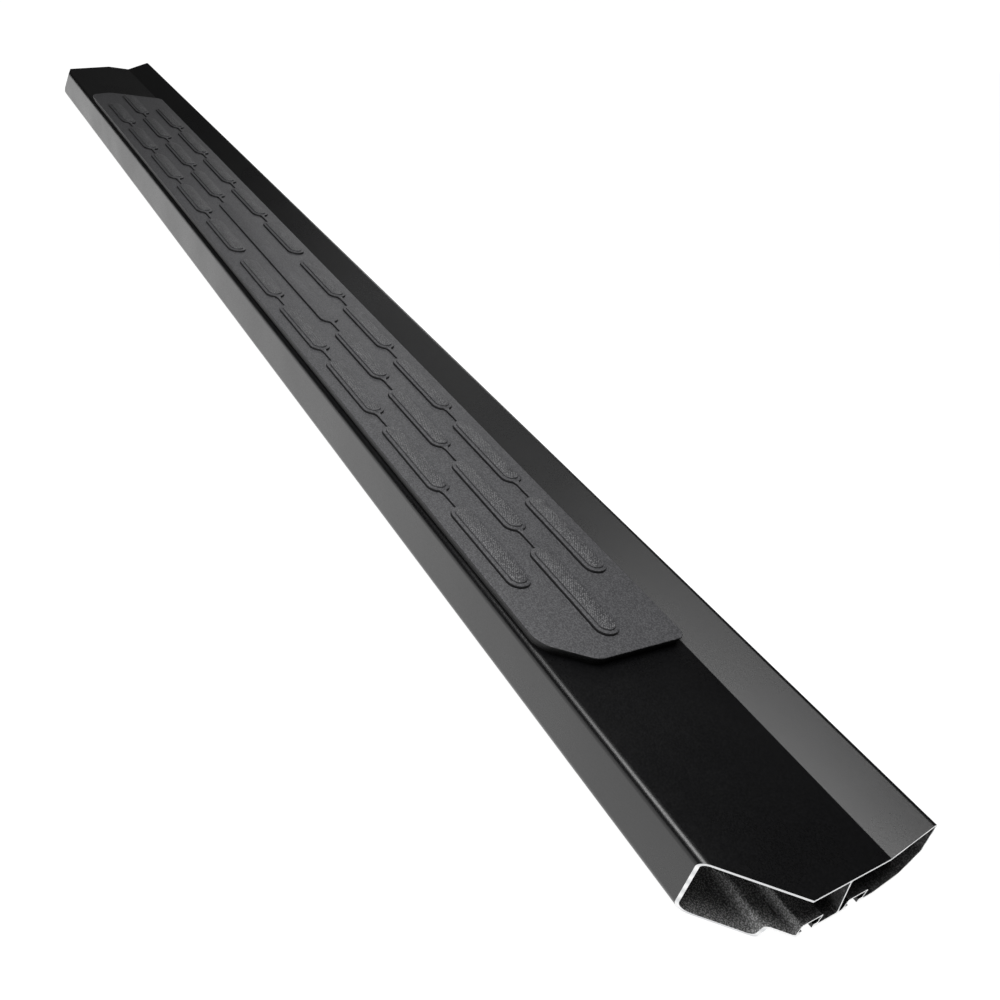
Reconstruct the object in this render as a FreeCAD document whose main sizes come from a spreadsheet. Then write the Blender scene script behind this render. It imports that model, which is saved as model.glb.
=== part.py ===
"""Running board: one hollow aluminium extrusion with a moulded step pad on its deck,
and sliding stud plates in the two T-slots underneath, where the vehicle's brackets bolt on.

X runs along the board, -Y is the outer side that a foot meets first, +Y faces the vehicle,
+Z is up.  The origin is under the middle of the board, in the plane it rests on.
"""
import FreeCAD, Part
import math
import os

Vector = FreeCAD.Vector

# Driving dimensions in millimetres and degrees.
DIMENSIONS = {
    # section of the extrusion
    "BoardLength": 1778, "DeckHeight": 52.5, "RampAngle": 25.3, "RampFootY": 38.9,
    "RampTipY": 74.3, "KneeY": 80.2, "KneeHeight": 39.5, "BackBendY": 70,
    "BackBendHeight": 22, "BackFootY": 48, "SlotPlane": 13.4, "StepY": -35.4,
    "ToeY": -72.3, "NoseY": -78.7, "WebTopY": 1.8, "WebFootY": 14.4,
    # walls and corner radii
    "DeckWall": 1.8, "FrontWall": 1.7, "Wall": 1.7, "WebWall": 1.2, "InnerCorner": 1.5,
    "StepInside": 3, "NoseRadius": 5, "ToeRadius": 10, "StepRadius": 3, "TipRadius": 3.5,
    "BackRadius": 14, "KneeRadius": 5,
    # the two T-slots
    "SlotFrontY": -14.6, "SlotRearY": 27.7, "SlotMouth": 10.2, "SlotInside": 17,
    "SlotLip": 3.6, "SlotHeight": 6.2, "SlotWall": 1.3, "SlotCorner": 0.5,
    # saw cuts: where they meet the deck, angle in plan from square, lean from upright
    "NearCutY": -31.6, "NearCutAngle": 44.2, "NearCutLean": -7.6,
    "FarCutY": 5, "FarCutAngle": 37.2, "FarCutLean": 30.5,
    "NoseCutY": -70.2, "NoseCutAngle": 75, "NoseCutLean": 15.2,
    # step pad
    "PadLength": 1367.5, "PadMiddle": 14.75, "PadFront": -75.8, "PadRear": 38.6,
    "PadMitreX": 26.5, "PadMitreY": 33.5, "PadHeight": 7.6, "SlabHeight": 3.6,
    "SkirtInset": 0.9, "SkirtWall": 3, "PadFrontRadius": 22, "PadMitreRadius": 16,
    "PadRearRadius": 7, "PadEdgeRadius": 1.2, "PadHollow": 4,
    # raised treads on the pad, and the bridges that join them in rows
    "TreadPitch": 123.9, "TreadLength": 101, "TreadWidth": 20.4, "TreadRowPitch": 35.6,
    "TreadMiddleX": 12, "TreadMiddleY": -17.4, "TreadRimHeight": 2.2, "TreadTopHeight": 1.3,
    "TreadRim": 3.1, "BridgeWidth": 3.4, "BridgeHeight": 1.6,
    # tape and clips that hold the pad down
    "TapeWidth": 12, "TapeThick": 1.1, "TapeLength": 1240, "TapeOffset": 45.5,
    "ClipPitch": 250, "ClipOffset": 30, "ClipHole": 6.2, "ClipShank": 5.6, "ClipHead": 14,
    "ClipBoss": 17, "ClipPost": 5, "ClipPostLength": 3, "ClipBarb": 7.4, "ClipBarbLength": 3.5,
    # sliding studs
    "StationPitch": 560, "PlateLength": 40, "PlateWidth": 16, "PlateThick": 5.4,
    "PlateLift": 0.3, "StudDiameter": 8, "StudShoulder": 8.6, "StudTip": 1.2,
}

TREADS_PER_SIDE_ROW = 10
TREADS_PER_MIDDLE_ROW = 11
PLAIN_TREADS = (4, 5, 6)
CLIPS_PER_ROW = 6
STATIONS = 3
SQUARE = 0.0

doc = FreeCAD.newDocument("RunningBoard")
sheet = doc.addObject("Spreadsheet::Sheet", "Dimensions")
for row, (alias, size) in enumerate(DIMENSIONS.items(), start=1):
    sheet.set(f"A{row}", alias)
    sheet.set(f"B{row}", str(size))
    sheet.setAlias(f"B{row}", alias)
doc.recompute()


def dim(alias):
    """A driving dimension, read from the sheet."""
    return float(sheet.get(alias))


def bind(item, **formulas):
    """Bind properties to formulas in which every capitalised word is a dimension."""
    for prop, formula in formulas.items():
        words = [f"Dimensions.{word}" if word in DIMENSIONS else word
                 for word in formula.split()]
        item.setExpression(prop.replace("_", "."), " ".join(words))


# ------------------------------------------------------------------ outlines
def shifted(start, end, inward=0.0):
    """The line from start to end, moved to its left by inward: (point, direction)."""
    along = Vector(end[0] - start[0], end[1] - start[1], 0).normalize()
    return Vector(start[0], start[1], 0) + Vector(-along.y, along.x, 0) * inward, along


def crossing(first, second, radius):
    """The corner where two lines meet, with its rounding radius."""
    (point, along), (other, across) = first, second
    gap = other - point
    travel = (gap.x * across.y - gap.y * across.x) / (along.x * across.y - along.y * across.x)
    corner = point + along * travel
    return (corner.x, corner.y, radius)


def enclosed(lines, radii):
    """Corners of the outline that the lines make, each line meeting the next."""
    following = lines[1:] + lines[:1]
    return [crossing(line, after, radius)
            for line, after, radius in zip(lines, following, radii)]


def rounded(corners):
    """Straight and round stretches of a closed outline of (x, y, radius) corners."""
    stretches = []
    ends = []
    for i, (x, y, radius) in enumerate(corners):
        corner = Vector(x, y, 0)
        back = (Vector(*corners[i - 1][:2], 0) - corner).normalize()
        ahead = (Vector(*corners[(i + 1) % len(corners)][:2], 0) - corner).normalize()
        half = back.getAngle(ahead) / 2
        reach = radius / math.tan(half)
        ends.append((corner + back * reach, corner + ahead * reach))
        if radius:
            top = corner + (back + ahead).normalize() * radius * (1 / math.sin(half) - 1)
            stretches.append(Part.Arc(ends[i][0], top, ends[i][1]))
    for i, (_, leave) in enumerate(ends):
        arrive = ends[(i + 1) % len(ends)][0]
        if leave.distanceToPoint(arrive) > 1e-6:
            stretches.append(Part.LineSegment(leave, arrive))
    return stretches


def rectangle(x, y, length, width):
    """A square-cornered box outline about (x, y)."""
    right, top = x + length / 2, y + width / 2
    left, bottom = x - length / 2, y - width / 2
    return rounded([(left, bottom, SQUARE), (right, bottom, SQUARE),
                    (right, top, SQUARE), (left, top, SQUARE)])


def lozenge(x, y, length, width):
    """A long outline with round ends about (x, y)."""
    reach = length / 2 - width / 2
    half = width / 2
    right = Part.Arc(Vector(x + reach, y - half, 0), Vector(x + reach + half, y, 0),
                     Vector(x + reach, y + half, 0))
    left = Part.Arc(Vector(x - reach, y + half, 0), Vector(x - reach - half, y, 0),
                    Vector(x - reach, y - half, 0))
    top = Part.LineSegment(Vector(x + reach, y + half, 0), Vector(x - reach, y + half, 0))
    bottom = Part.LineSegment(Vector(x - reach, y - half, 0), Vector(x + reach, y - half, 0))
    return [right, top, left, bottom]


def circle(x, y, diameter):
    """A round outline about (x, y)."""
    return [Part.Circle(Vector(x, y, 0), Vector(0, 0, 1), diameter / 2)]


# ------------------------------------------------------------------ features
def new_body(label):
    """An empty body with its label."""
    body = doc.addObject("PartDesign::Body", label)
    body.Label = label
    return body


def add_sketch(body, name, role, outlines, height="0"):
    """A sketch of closed outlines on one of the body's own origin planes."""
    sketch = body.newObject("Sketcher::SketchObject", name)
    plane = next(item for item in body.Origin.OriginFeatures if item.Role == role)
    sketch.AttachmentSupport = [(plane, "")]
    sketch.MapMode = "FlatFace"
    bind(sketch, AttachmentOffset_Base_z=height)
    for outline in outlines:
        sketch.addGeometry(outline, False)
    return sketch


def add_pad(body, name, outlines, height, length):
    """Material raised upwards from outlines that lie at a height."""
    pad = body.newObject("PartDesign::Pad", name)
    pad.Profile = add_sketch(body, name + "Sketch", "XY_Plane", outlines, height)
    bind(pad, Length=length)
    return pad


def add_pocket(body, name, outlines, height, depth, upwards):
    """Material taken away above or below outlines that lie at a height."""
    pocket = body.newObject("PartDesign::Pocket", name)
    pocket.Profile = add_sketch(body, name + "Sketch", "XY_Plane", outlines, height)
    pocket.Reversed = upwards
    bind(pocket, Length=depth)
    return pocket


# ------------------------------------------------------------------ the extrusion
def t_slot(middle):
    """Corners of a T-slot that opens in the slot plane."""
    floor = dim("SlotPlane")
    ledge = floor + dim("SlotLip")
    ceiling = ledge + dim("SlotHeight")
    mouth = dim("SlotMouth") / 2
    inside = dim("SlotInside") / 2
    radius = dim("SlotCorner")
    left = [(-mouth, floor), (-mouth, ledge), (-inside, ledge), (-inside, ceiling)]
    right = [(-offset, height) for offset, height in reversed(left)]
    return [(middle + offset, height, radius) for offset, height in left + right]


def slot_housing(middle):
    """The outer sides of a slot's own walls, as lines seen from the hollow."""
    half = dim("SlotInside") / 2 + dim("SlotWall")
    floor = dim("SlotPlane")
    top = floor + dim("SlotLip") + dim("SlotHeight") + dim("SlotWall")
    left, right = middle - half, middle + half
    return [shifted((left, floor), (left, top)), shifted((left, top), (right, top)),
            shifted((right, top), (right, floor))]


def section_corners():
    """The named corners of the section, as (y, z)."""
    deck = dim("DeckHeight")
    floor = dim("SlotPlane")
    rise = (dim("RampTipY") - dim("RampFootY")) * math.tan(math.radians(dim("RampAngle")))
    return {
        "toe": (dim("ToeY"), 0), "step_foot": (dim("StepY"), 0), "step_top": (dim("StepY"), floor),
        "back_foot": (dim("BackFootY"), floor),
        "back_bend": (dim("BackBendY"), dim("BackBendHeight")),
        "knee": (dim("KneeY"), dim("KneeHeight")), "tip": (dim("RampTipY"), deck + rise),
        "ramp_foot": (dim("RampFootY"), deck), "nose": (dim("NoseY"), deck),
        "web_top": (dim("WebTopY"), deck), "web_foot": (dim("WebFootY"), floor),
    }


def outer_outline(corner):
    """The outside of the section, with both T-slots."""
    radii = {"toe": "ToeRadius", "step_foot": "StepRadius", "step_top": "InnerCorner",
             "back_foot": "BackRadius", "back_bend": "BackRadius", "knee": "KneeRadius",
             "tip": "TipRadius", "ramp_foot": "InnerCorner", "nose": "NoseRadius"}
    placed = {name: (*corner[name], dim(radius)) for name, radius in radii.items()}
    front = [placed["toe"], placed["step_foot"], placed["step_top"]]
    back = [placed[name] for name in ("back_foot", "back_bend", "knee", "tip", "ramp_foot", "nose")]
    return rounded(front + t_slot(dim("SlotFrontY")) + t_slot(dim("SlotRearY")) + back)


def front_hollow(corner):
    """The hollow between the front wall and the leaning web."""
    wall = dim("Wall")
    floor = shifted(corner["step_top"], corner["back_foot"], wall)
    lines = [shifted(corner["toe"], corner["step_foot"], wall),
             shifted(corner["step_foot"], corner["step_top"], wall), floor,
             *slot_housing(dim("SlotFrontY")), floor,
             shifted(corner["web_foot"], corner["web_top"], dim("WebWall") / 2),
             shifted(corner["ramp_foot"], corner["nose"], dim("DeckWall")),
             shifted(corner["nose"], corner["toe"], dim("FrontWall"))]
    radii = [dim("InnerCorner")] * len(lines)
    radii[:2] = [dim("StepInside")] * 2
    radii[-2:] = [dim(word) - dim("FrontWall") for word in ("NoseRadius", "ToeRadius")]
    return rounded(enclosed(lines, radii))


def rear_hollow(corner):
    """The hollow between the leaning web and the back."""
    wall = dim("Wall")
    floor = shifted(corner["step_top"], corner["back_foot"], wall)
    back_names = ["back_foot", "back_bend", "knee", "tip"]
    back = [shifted(corner[a], corner[b], wall) for a, b in zip(back_names, back_names[1:])]
    lines = [floor, *slot_housing(dim("SlotRearY")), floor, *back,
             shifted(corner["tip"], corner["ramp_foot"], dim("DeckWall")),
             shifted(corner["ramp_foot"], corner["nose"], dim("DeckWall")),
             shifted(corner["web_top"], corner["web_foot"], dim("WebWall") / 2)]
    return rounded(enclosed(lines, [dim("InnerCorner")] * len(lines)))


def saw_cut(name, side, x, alias):
    """A block beyond a leaning saw cut that passes through (x, its Y) on the deck."""
    angle = math.radians(dim(alias + "Angle"))
    lean = math.radians(dim(alias + "Lean"))
    outward = Vector(side * math.cos(lean) * math.cos(angle),
                     -math.cos(lean) * math.sin(angle), math.sin(lean))
    block = doc.addObject("Part::Box", name)
    bind(block, Length="BoardLength / 4", Width="BoardLength / 4", Height="BoardLength / 4")
    turn = FreeCAD.Rotation(Vector(0, 0, 1), outward)
    half = dim("BoardLength") / 8
    point = Vector(x, dim(alias + "Y"), dim("DeckHeight"))
    block.Placement = FreeCAD.Placement(point - turn.multVec(Vector(half, half, 0)), turn)
    return block


def clip_places():
    """Where the pad's clips go through the deck."""
    middle = (dim("PadFront") + dim("PadRear")) / 2
    first = dim("PadMiddle") - dim("ClipPitch") * (CLIPS_PER_ROW - 1) / 2
    return [(row, number + 1, first + number * dim("ClipPitch"), middle + side * dim("ClipOffset"))
            for row, side in (("front", -1), ("rear", 1)) for number in range(CLIPS_PER_ROW)]


def make_extrusion():
    """The hollow board, drilled for the clips and cut at both ends."""
    corner = section_corners()
    body = new_body("extruded_length")
    length = body.newObject("PartDesign::Pad", "Length")
    length.Profile = add_sketch(body, "Section", "YZ_Plane", [
        outer_outline(corner), front_hollow(corner), rear_hollow(corner)])
    length.SideType = "Symmetric"
    bind(length, Length="BoardLength")
    holes = [circle(x, y, dim("ClipHole")) for _, _, x, y in clip_places()]
    add_pocket(body, "ClipHoles", holes, "DeckHeight", "DeckWall + 1", upwards=False)
    half = dim("BoardLength") / 2
    far_mitre = math.tan(math.radians(dim("FarCutAngle")))
    nose_x = -half + (dim("FarCutY") - dim("NoseCutY")) * far_mitre
    blocks = [saw_cut("near_cut", 1, half, "NearCut"), saw_cut("far_cut", -1, -half, "FarCut"),
              saw_cut("nose_cut", -1, nose_x, "NoseCut")]
    board = body
    for block in blocks:
        cut = doc.addObject("Part::Cut", "after_" + block.Name)
        cut.Base = board
        cut.Tool = block
        board = cut
    board.Label = "board_extrusion"
    return board


# ------------------------------------------------------------------ the step pad
def pad_outline(inset):
    """The pad's plan, each side moved in by inset."""
    near = dim("PadMiddle") + dim("PadLength") / 2
    far = dim("PadMiddle") - dim("PadLength") / 2
    front, rear = dim("PadFront"), dim("PadRear")
    mitre_x, mitre_y = dim("PadMitreX"), dim("PadMitreY")
    corners = [(far + mitre_x, front), (near - mitre_x, front), (near, front + mitre_y),
               (near, rear), (far, rear), (far, front + mitre_y)]
    sides = [shifted(a, b, inset) for a, b in zip(corners, corners[1:] + corners[:1])]
    radii = [dim("PadFrontRadius"), dim("PadMitreRadius"), dim("PadRearRadius"),
             dim("PadRearRadius"), dim("PadMitreRadius"), dim("PadFrontRadius")]
    return rounded(enclosed(sides, [radius - inset for radius in radii]))


def tape_places():
    """The two strips of tape, front and rear."""
    middle = (dim("PadFront") + dim("PadRear")) / 2
    return [("tape_front", middle - dim("TapeOffset")), ("tape_rear", middle + dim("TapeOffset"))]


def tread_rows():
    """Each row's treads as (x, y, length), in order along the board."""
    pitch = dim("TreadPitch")
    long_plain = pitch * (len(PLAIN_TREADS) - 1) + dim("TreadLength")
    rows = []
    for side, count in ((-1, TREADS_PER_SIDE_ROW), (0, TREADS_PER_MIDDLE_ROW),
                        (1, TREADS_PER_SIDE_ROW)):
        y = dim("TreadMiddleY") + side * dim("TreadRowPitch")
        row = []
        for number in range(count):
            x = dim("TreadMiddleX") + (number - (count - 1) / 2) * pitch
            if side == 0 and number in PLAIN_TREADS:
                if number == PLAIN_TREADS[len(PLAIN_TREADS) // 2]:
                    row.append((x, y, long_plain))
            else:
                row.append((x, y, dim("TreadLength")))
        rows.append(row)
    return rows


def bridge_outlines(rows):
    """Narrow bars between neighbouring treads; the side rows have a gap half way."""
    outlines = []
    for row in rows:
        for (x, y, length), (after, _, after_length) in zip(row, row[1:]):
            start = x + length / 2 - dim("TreadRim")
            end = after - after_length / 2 + dim("TreadRim")
            half_way = abs((start + end) / 2 - dim("TreadMiddleX")) < dim("TreadRim")
            if not half_way:
                outlines.append(rectangle((start + end) / 2, y, end - start, dim("BridgeWidth")))
    return outlines


def make_step_pad():
    """The moulded pad: a slab on a set-in skirt, hollow below, with raised treads."""
    body = new_body("step_pad")
    add_pad(body, "Skirt", [pad_outline(dim("SkirtInset"))], "DeckHeight",
            "PadHeight - SlabHeight")
    slab = add_pad(body, "Slab", [pad_outline(0)], "DeckHeight + PadHeight - SlabHeight",
                   "SlabHeight")
    doc.recompute()
    top = dim("DeckHeight") + dim("PadHeight")
    faces = [f"Face{i}" for i, face in enumerate(slab.Shape.Faces, start=1)
             if abs(face.BoundBox.ZMin - top) < 0.01]
    edge = body.newObject("PartDesign::Fillet", "SlabEdge")
    edge.Base = (slab, faces)
    bind(edge, Radius="PadEdgeRadius")
    tapes = [rectangle(dim("PadMiddle"), y, dim("TapeLength"), dim("TapeWidth"))
             for _, y in tape_places()]
    places = clip_places()
    bosses = [circle(x, y, dim("ClipBoss")) for _, _, x, y in places]
    posts = [circle(x, y, dim("ClipPost")) for _, _, x, y in places]
    inside = pad_outline(dim("SkirtInset") + dim("SkirtWall"))
    add_pocket(body, "Hollow", [inside, *tapes, *bosses], "DeckHeight", "PadHollow", upwards=True)
    add_pocket(body, "Seats", [*tapes, *bosses], "DeckHeight", "TapeThick", upwards=True)
    add_pocket(body, "PostHoles", posts, "DeckHeight", "TapeThick + ClipPostLength", upwards=True)
    rows = tread_rows()
    treads = [tread for row in rows for tread in row]
    rims = [lozenge(x, y, length, dim("TreadWidth")) for x, y, length in treads]
    shrink = 2 * dim("TreadRim")
    tops = [lozenge(x, y, length - shrink, dim("TreadWidth") - shrink)
            for x, y, length in treads if length == dim("TreadLength")]
    add_pad(body, "Rims", rims, "DeckHeight + PadHeight", "TreadRimHeight")
    add_pad(body, "Tops", tops, "DeckHeight + PadHeight + TreadRimHeight", "TreadTopHeight")
    add_pad(body, "Bridges", bridge_outlines(rows), "DeckHeight + PadHeight", "BridgeHeight")
    return body


def make_tape(name, y):
    """A strip of foam tape between the deck and a rail under the pad."""
    tape = doc.addObject("Part::Box", name)
    tape.Label = name
    bind(tape, Length="TapeLength", Width="TapeWidth", Height="TapeThick",
         Placement_Base_x="PadMiddle - TapeLength / 2", Placement_Base_z="DeckHeight")
    tape.Placement.Base.y = y - dim("TapeWidth") / 2
    return tape


def make_clip(name, x, y):
    """A barbed push-in clip: a post in the pad, a head, and a shank through the deck."""
    head, post, shank, barb = (dim(word) / 2
                               for word in ("ClipHead", "ClipPost", "ClipShank", "ClipBarb"))
    under_deck = -dim("DeckWall") - 0.4
    barb_end = under_deck - dim("ClipBarbLength")
    tip = barb_end - dim("ClipBarbLength")
    thick = dim("TapeThick")
    profile = [(0, tip), (shank / 2, tip), (barb, barb_end), (shank - 0.4, barb_end),
               (barb, under_deck), (shank, under_deck), (shank, 0), (head, 0), (head, thick),
               (post, thick), (post, thick + dim("ClipPostLength")),
               (0, thick + dim("ClipPostLength"))]
    body = new_body(name)
    turned = body.newObject("PartDesign::Revolution", name + "Turned")
    sketch = add_sketch(body, name + "Profile", "XZ_Plane",
                        [rounded([(r, z, SQUARE) for r, z in profile])])
    turned.Profile = sketch
    turned.ReferenceAxis = (sketch, ["V_Axis"])
    turned.Angle = 360
    body.Placement.Base = Vector(x, y, 0)
    bind(body, Placement_Base_z="DeckHeight")
    return body


# ------------------------------------------------------------------ the sliding studs
def make_slider(slot, slot_alias, number):
    """A plate in the slot and the stud pressed through it, at one bracket station."""
    station = f"StationPitch * {number - (STATIONS - 1) / 2}"
    blank = doc.addObject("Part::Box", f"blank_{slot}_{number + 1}")
    bind(blank, Length="PlateLength", Width="PlateWidth", Height="PlateThick",
         Placement_Base_x=station + " - PlateLength / 2",
         Placement_Base_y=slot_alias + " - PlateWidth / 2",
         Placement_Base_z="SlotPlane + SlotLip + PlateLift")
    shoulder = doc.addObject("Part::Cylinder", f"shoulder_{slot}_{number + 1}")
    bind(shoulder, Radius="StudShoulder / 2", Height="SlotLip + PlateLift + PlateThick",
         Placement_Base_x=station, Placement_Base_y=slot_alias, Placement_Base_z="SlotPlane")
    thread = doc.addObject("Part::Cylinder", f"thread_{slot}_{number + 1}")
    bind(thread, Radius="StudDiameter / 2", Height="SlotPlane - StudTip",
         Placement_Base_x=station, Placement_Base_y=slot_alias, Placement_Base_z="StudTip")
    tip = doc.addObject("Part::Cone", f"tip_{slot}_{number + 1}")
    bind(tip, Radius1="StudDiameter / 2 - StudTip", Radius2="StudDiameter / 2", Height="StudTip",
         Placement_Base_x=station, Placement_Base_y=slot_alias)
    plate = doc.addObject("Part::Cut", f"slider_plate_{slot}_{number + 1}")
    plate.Base = blank
    plate.Tool = shoulder
    stud = doc.addObject("Part::MultiFuse", f"stud_{slot}_{number + 1}")
    stud.Shapes = [shoulder, thread, tip]
    plate.Label = plate.Name
    stud.Label = stud.Name
    return [plate, stud]


# ------------------------------------------------------------------ the assembly
pieces = [make_extrusion(), make_step_pad()]
pieces += [make_tape(name, y) for name, y in tape_places()]
pieces += [make_clip(f"pad_clip_{row}_{number}", x, y) for row, number, x, y in clip_places()]
for slot, slot_alias in (("front", "SlotFrontY"), ("rear", "SlotRearY")):
    for number in range(STATIONS):
        pieces += make_slider(slot, slot_alias, number)
doc.recompute()

for item in doc.Objects:
    if {"Invalid", "Error"} & set(item.State):
        raise RuntimeError(f"{item.Label}: {item.State}")
    if item.TypeId == "PartDesign::Pocket" and item.Shape.Volume >= item.BaseFeature.Shape.Volume:
        raise RuntimeError(f"{item.Label} cuts nothing")
for piece in pieces:
    if piece.Shape.isNull() or not piece.Shape.isValid() or len(piece.Shape.Solids) != 1:
        raise RuntimeError(f"{piece.Label} is not one sound solid")

os.makedirs("parts", exist_ok=True)
for piece in pieces:
    piece.Shape.exportStep(f"parts/{piece.Label}.step")
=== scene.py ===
"""Looks of a running board: coated extrusion, moulded step pad, sliding studs and a studio."""

import math

import bmesh
import bpy
from mathutils import Matrix, Vector


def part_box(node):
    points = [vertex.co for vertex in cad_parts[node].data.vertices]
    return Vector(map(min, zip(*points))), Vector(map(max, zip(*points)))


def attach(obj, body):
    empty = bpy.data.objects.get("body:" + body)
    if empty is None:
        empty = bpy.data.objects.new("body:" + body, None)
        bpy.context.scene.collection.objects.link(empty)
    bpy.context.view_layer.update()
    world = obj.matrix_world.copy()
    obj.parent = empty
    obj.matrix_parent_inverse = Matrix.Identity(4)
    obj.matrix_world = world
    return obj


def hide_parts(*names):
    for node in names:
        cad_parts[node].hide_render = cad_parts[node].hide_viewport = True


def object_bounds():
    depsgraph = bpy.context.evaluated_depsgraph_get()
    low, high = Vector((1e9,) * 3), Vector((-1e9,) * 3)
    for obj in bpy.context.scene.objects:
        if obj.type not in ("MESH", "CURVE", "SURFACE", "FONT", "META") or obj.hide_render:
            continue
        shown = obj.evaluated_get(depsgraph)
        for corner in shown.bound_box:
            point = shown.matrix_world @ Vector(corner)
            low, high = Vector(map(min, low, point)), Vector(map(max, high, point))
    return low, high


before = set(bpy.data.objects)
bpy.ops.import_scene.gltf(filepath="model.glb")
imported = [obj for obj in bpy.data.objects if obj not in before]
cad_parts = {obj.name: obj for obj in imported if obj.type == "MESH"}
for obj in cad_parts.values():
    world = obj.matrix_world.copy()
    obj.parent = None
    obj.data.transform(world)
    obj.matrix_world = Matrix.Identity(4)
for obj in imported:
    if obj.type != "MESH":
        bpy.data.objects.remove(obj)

bl_info = {
    "name": "Running Board",
    "version": (1, 0, 0),
    "blender": (4, 5, 0),
    "location": "View3D > Sidebar > Running Board",
    "description": "Builds a running board's step pad, studs, finishes and studio",
    "category": "Object",
}

MM = 0.001
CAD_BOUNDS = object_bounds()
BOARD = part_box("board_extrusion")
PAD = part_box("step_pad")
SLIDERS = [(slot, number) for slot in ("front", "rear") for number in (1, 2, 3)]
CLIPS = [f"pad_clip_{row}_{number}" for row in ("front", "rear") for number in range(1, 7)]
TAPES = ["tape_front", "tape_rear"]
SIDE_ROW_TREADS = 10
MIDDLE_ROW_TREADS = 4
SMOOTH_BELOW = math.radians(32)
WEB_TOP = Vector((0, 1.8, 50.7)) * MM
WEB_FOOT = Vector((0, 14.4, 14.7)) * MM


# ------------------------------------------------------------------ settings
def linear(code):
    """An sRGB hex colour as the linear colour that shaders work in."""
    shares = [int(code[at:at + 2], 16) / 255 for at in (1, 3, 5)]
    return tuple(s / 12.92 if s <= 0.04045 else ((s + 0.055) / 1.055) ** 2.4 for s in shares)


def length(name, description, millimetres):
    """A length setting, given in millimetres and held in metres."""
    return bpy.props.FloatProperty(name=name, description=description, unit="LENGTH",
                                   precision=5, default=millimetres * MM)


def colour(name, description, code):
    """A colour setting, given as sRGB hex and held linear."""
    return bpy.props.FloatVectorProperty(name=name, description=description, subtype="COLOR",
                                         min=0, max=1, default=linear(code))


class PadSettings(bpy.types.PropertyGroup):
    """Sizes of the step pad."""
    mitre_x: length("Mitre length", "Front corner's cut along the board", 26.5)
    mitre_y: length("Mitre depth", "Front corner's cut across the board", 33.5)
    front_radius: length("Front radius", "Rounding where front and mitre meet", 22)
    mitre_radius: length("Mitre radius", "Rounding where mitre and end meet", 16)
    rear_radius: length("Rear radius", "Rounding of the rear corners", 7)
    lip: length("Lip", "Thickness of the slab's overhanging upper lip", 1.7)
    lip_inset: length("Lip inset", "How far the slab is set in under its lip", 0.8)
    inset: length("Skirt inset", "How far the skirt is set in under the lip", 2.2)
    skirt: length("Skirt wall", "Thickness of the skirt", 3)
    slab: length("Slab", "Thickness of the overhanging slab", 3.6)
    height: length("Height", "Deck to the top of the slab", 7.6)
    tread: length("Tread length", "Length of one tread", 101)
    width: length("Tread width", "Width of one tread", 20.4)
    pitch: length("Tread pitch", "Tread to tread along a row", 123.9)
    rows: length("Row pitch", "Row to row", 35.6)
    middle_x: length("Middle along", "Middle of the treads along the board", 12)
    middle_y: length("Middle across", "Middle row's place across the board", -17.4)
    rim: length("Rim", "Width of the ledge round a tread's top", 3.1)
    rim_height: length("Rim height", "Height of the ledge", 2.2)
    top_height: length("Top height", "Height of the gripping top above the ledge", 1.3)
    bridge: length("Bridge", "Width of the bar between two treads", 3.4)


class FinishSettings(bpy.types.PropertyGroup):
    """Colours of the finishes."""
    coat: colour("Powder coat", "Satin black powder coat", "#060607")
    # Painted light: pale grey with pale flecks on the hollow walls, for the light that comes in at
    # the open end.
    hollow_light: colour("Overspray", "Thin powder inside the hollows", "#5c5c5c")
    hollow_light_specks: colour("Specks", "Metal that shows between the thin powder", "#bcbcbc")
    bare: colour("Bare metal", "Sawn aluminium", "#d9dadb")
    saw_lines: colour("Saw lines", "Bright lines that the blade leaves", "#f4f4f4")
    pad: colour("Pad", "Moulded black thermoplastic", "#333335")
    # Painted highlight: paler colour on the raised tops of the pad's grain.
    grain_highlight: colour("Pad highlights", "Rubbed tops of the pad's grain", "#5a5a5c")
    # Painted shade: colour of the pad's steep walls, darker than the pad.
    walls: colour("Pad walls", "Smooth steep walls of the pad", "#0c0c0d")
    # Partly wear and partly painted highlight: the paler tips of the gripping points.
    grip: colour("Grip", "Rubbed tips of the gripping points", "#9c9c9d")
    foam: colour("Foam", "Closed-cell foam tape", "#4b4d50")
    # Painted shade: the darker colour inside the foam's open bubbles.
    bubbles: colour("Bubbles", "Hollows of the foam's open bubbles", "#2f3032")
    nylon: colour("Nylon", "Moulded nylon clips", "#17171a")
    flow_marks: colour("Flow marks", "Paler streaks in the nylon", "#26262a")
    zinc: colour("Zinc", "Bright zinc plate", "#b4b8bd")
    dull_zinc: colour("Dull zinc", "Clouds in the zinc plate", "#8d9298")


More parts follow.
